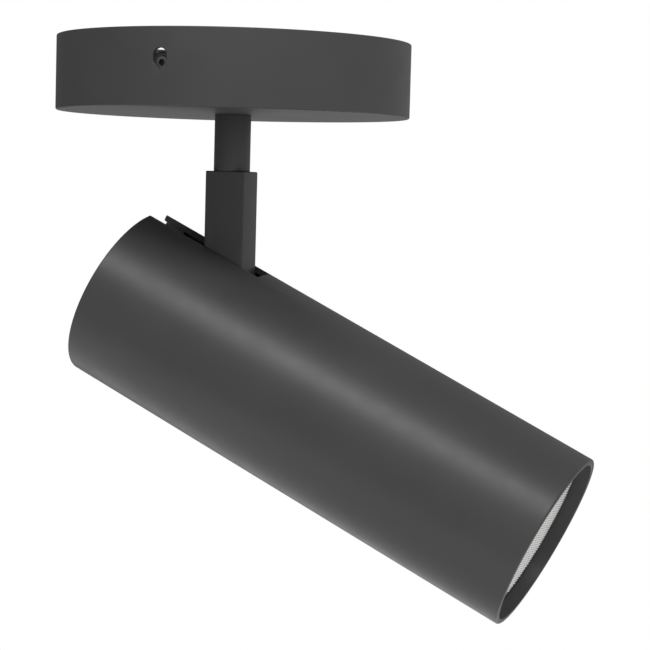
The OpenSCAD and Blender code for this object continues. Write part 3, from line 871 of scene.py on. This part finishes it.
def lamp_body():
    shares = [(0.19, 0), (0.19, 0.15), (0.24, 0.19), (0.28, 0.32), (0.44, 0.72), (0.47, 0.9), (0.5, 0.93)]
    corners = [(0, LAMP_REAR)] + [(LAMP_D * a, LAMP_REAR + LAMP_LEN * b, 0.8) for a, b in shares]
    corners += [(LAMP_D / 2, LAMP_FRONT, 0.4), (LENS_R, LAMP_FRONT, 0.3), (LENS_R, LENS_REAR),
                (0, LENS_REAR)]
    outline = rounded(corners, 4)
    spaced = []
    for point, after in zip(outline, outline[1:] + outline[:1]):
        pieces = max(1, int(abs(after[1] - point[1]) / 1.5))
        spaced += [tuple(a + (b - a) * k / pieces for a, b in zip(point, after)) for k in range(pieces)]

    rib_count = 30
    groove_deep = 1.6
    first_share = 0.33
    last_share = 0.86

    def ribs(radius, height, turn):
        """Cooling ribs outside, with grooves that fade out at both ends."""
        share = (height - LAMP_REAR) / LAMP_LEN
        if not first_share < share < last_share or radius < 10:
            return radius
        fade = min(1.0, (share - first_share) / 0.06, (last_share - share) / 0.04)
        wave = 0.5 + 0.5 * math.cos(2 * math.pi * turn * rib_count)
        return radius - groove_deep * fade * (1 - min(1.0, 2.2 * wave))

    add_piece("lamp_body", lathe(spaced, 240, ribs), ALONG_TUBE, sharp=40)


def lamp_lens():
    """A lens whose face is stepped in rings."""
    edge = LENS_R - RUN_GAP
    ring_count = 9
    ring_pitch = 2.4
    ring_deep = 0.5
    steps = [(0, LENS_REAR), (edge, LENS_REAR), (edge, LAMP_FRONT - 0.3), (edge - 0.35, LAMP_FRONT)]
    for ring in range(ring_count, 0, -1):
        out = ring_pitch * ring
        steps += [(out + 0.2, LAMP_FRONT), (out - 0.6, LAMP_FRONT - ring_deep)]
    add_piece("lamp_lens", lathe(steps + [(0, LAMP_FRONT - 0.2)], 160), ALONG_TUBE)


def lamp_pins():
    neck = PIN_LOW + 2
    neck_r = 0.6 * PIN_R
    pin = rounded([(0, PIN_LOW), (PIN_R, PIN_LOW, 0.5), (PIN_R, neck, 0.3), (neck_r, neck, 0.2),
                   (neck_r, LAMP_REAR), (0, LAMP_REAR)], 4)
    pins = [at(lathe(pin, 48), move(y=side * PIN_Y)) for side in (-1, 1)]
    add_piece("lamp_pins", together(pins), ALONG_TUBE)


def glass_seat():
    seat_r = LAMP_D / 2 + SEAT_GAP
    rear = GLASS_REAR - 8
    ring = rounded([(LENS_R, LAMP_FRONT, 0.2), (seat_r, LAMP_FRONT), (seat_r, rear, 0.2),
                    (PUSHED_R, rear, 0.2), (PUSHED_R, GLASS_REAR, 0.2), (LENS_R, GLASS_REAR, 0.3)], 3)
    add_piece("lens_ring", lathe(ring, 256), ALONG_TUBE)
    bore = GLASS_R + RUN_GAP
    band = rounded([(bore, GLASS_REAR, 0.15), (PUSHED_R, GLASS_REAR, 0.15), (PUSHED_R, GLASS_FRONT, 0.3),
                    (bore, GLASS_FRONT, 0.3)], 4)
    add_piece("glass_gasket", lathe(band, 256), ALONG_TUBE)


def prism_sheet():
    """A sheet whose front is square points, which are turned and stretched into long low prisms."""
    sheet = bmesh.new()
    pitch = math.sqrt(0.5)
    count = PRISM_COUNT

    def point(i, j, height):
        """A corner of row i and column j, counted from the sheet's edges."""
        return sheet.verts.new(((i - count / 2) * pitch, (j - count / 2) * pitch, height))

    valley = GLASS_FRONT - PRISM_DEEP
    corner = [[point(i, j, valley) for j in range(count + 1)] for i in range(count + 1)]
    for i in range(count):
        for j in range(count):
            tip = point(i + 0.5, j + 0.5, GLASS_FRONT)
            square = [corner[i][j], corner[i + 1][j], corner[i + 1][j + 1], corner[i][j + 1]]
            for a, b in zip(square, square[1:] + square[:1]):
                sheet.faces.new((a, b, tip))
    rim = [corner[i][0] for i in range(count)] + [corner[count][j] for j in range(count)]
    rim += [corner[i][count] for i in range(count, 0, -1)] + [corner[0][j] for j in range(count, 0, -1)]
    base = [sheet.verts.new((v.co.x, v.co.y, GLASS_REAR - OVER)) for v in rim]
    skin(sheet, rim, base)
    sheet.faces.new(base)
    return at(sheet, Matrix.Diagonal((PRISM_WIDE, PRISM_LONG, 1, 1)) @ turned(45, "Z"))


def front_glass():
    front = GLASS_FRONT + 0.2
    disc = lathe(rounded([(0, GLASS_REAR), (GLASS_R, GLASS_REAR, 0.3), (GLASS_R, front), (0, front)]), 192)
    add_piece("front_glass", combine(disc, [prism_sheet()], "INTERSECT"), ALONG_TUBE, sharp=15)


# Studio
def add_camera():
    data = bpy.data.cameras.new("photo_camera")
    data.sensor_fit = "HORIZONTAL"
    data.sensor_width = 36
    data.lens = FOCAL_PX / PHOTO_PX * data.sensor_width
    data.clip_start = 0.01
    data.clip_end = 100
    camera = new_object("photo_camera", data)
    aim = turned(CAMERA_TURN, "Z") @ turned(90 - CAMERA_DIP, "X") @ turned(CAMERA_ROLL, "Z")
    camera.matrix_world = move(*CAMERA_AT) @ aim
    bpy.context.scene.camera = camera


def add_world():
    """White all round, with a soft light that is stronger from the front right, below."""
    world = bpy.data.worlds.new("studio")
    bpy.context.scene.world = world
    world.use_nodes = True
    tree = world.node_tree
    seen = tree.nodes["Background"]
    seen.inputs["Color"].default_value = WHITE
    seen.inputs["Strength"].default_value = 1.0
    light = new_node(tree, "Background", Color=WHITE)
    coords = new_node(tree, "TexCoord")
    side = new_node(tree, "VectorMath")
    side.operation = "DOT_PRODUCT"
    side.inputs[1].default_value = LIT_SIDE.normalized()
    tree.links.new(coords.outputs["Generated"], side.inputs[0])
    span = new_node(tree, "MapRange", From_Min=-1, To_Min=DIM_SIDE, To_Max=BRIGHT_SIDE)
    tree.links.new(side.outputs["Value"], span.inputs["Value"])
    tree.links.new(span.outputs["Result"], light.inputs["Strength"])
    path = new_node(tree, "LightPath")
    mix = new_node(tree, "MixShader")
    tree.links.new(path.outputs["Is Camera Ray"], mix.inputs["Fac"])
    tree.links.new(light.outputs["Background"], mix.inputs[1])
    tree.links.new(seen.outputs["Background"], mix.inputs[2])
    tree.links.new(mix.outputs["Shader"], tree.nodes["World Output"].inputs["Surface"])


def add_floor():
    """A pale disc whose glow rises outwards, until it meets the white behind it."""
    bm = bmesh.new()
    bmesh.ops.create_circle(bm, cap_ends=True, segments=96, radius=FLOOR_R)
    mesh = mesh_of(bm, "floor")
    floor = new_object("floor", mesh)
    floor.location = (0, 0, FLOOR_Z)
    material, tree, shader, place = new_material("pale_floor")
    stains = noise(tree, place, 3, detail=3)
    tinted(tree, stains, shader.inputs["Base Color"], (0.7, 0.7, 0.7), (0.72, 0.72, 0.72))
    shader.inputs["Roughness"].default_value = 0.9
    shader.inputs["Specular IOR Level"].default_value = 0.0
    shader.inputs["Emission Color"].default_value = WHITE
    far = new_node(tree, "VectorMath")
    far.operation = "LENGTH"
    tree.links.new(place, far.inputs[0])
    glow = new_node(tree, "MapRange", From_Min=0.4, From_Max=2.2, To_Min=0.4, To_Max=1.0)
    tree.links.new(far.outputs["Value"], glow.inputs["Value"])
    tree.links.new(glow.outputs["Result"], shader.inputs["Emission Strength"])
    mesh.materials.append(material)


def add_softbox():
    light = bpy.data.lights.new("key_softbox", "AREA")
    light.shape = "RECTANGLE"
    light.size = SOFTBOX_WIDE
    light.size_y = SOFTBOX_HIGH
    light.energy = SOFTBOX_POWER
    box = new_object("key_softbox", light)
    way = SOFTBOX_WAY.normalized()
    box.location = SOFTBOX_AIM + way * SOFTBOX_AWAY
    box.rotation_euler = way.to_track_quat("Z", "Y").to_euler()


add_camera()
add_world()
add_floor()
add_softbox()

canopy()
bracket()
weld_nuts()
grub_screws()
terminal_block()
terminal_screws()
block_and_earth_screws()
stop_peg()
nipple()
swivel_parts()
knuckle()
tube()
rear_cap()
carrier()
pivot_parts()
lampholder()
holder_fittings()
lamp_body()
lamp_lens()
lamp_pins()
glass_seat()
front_glass()

bpy.context.scene.view_settings.view_transform = "Standard"
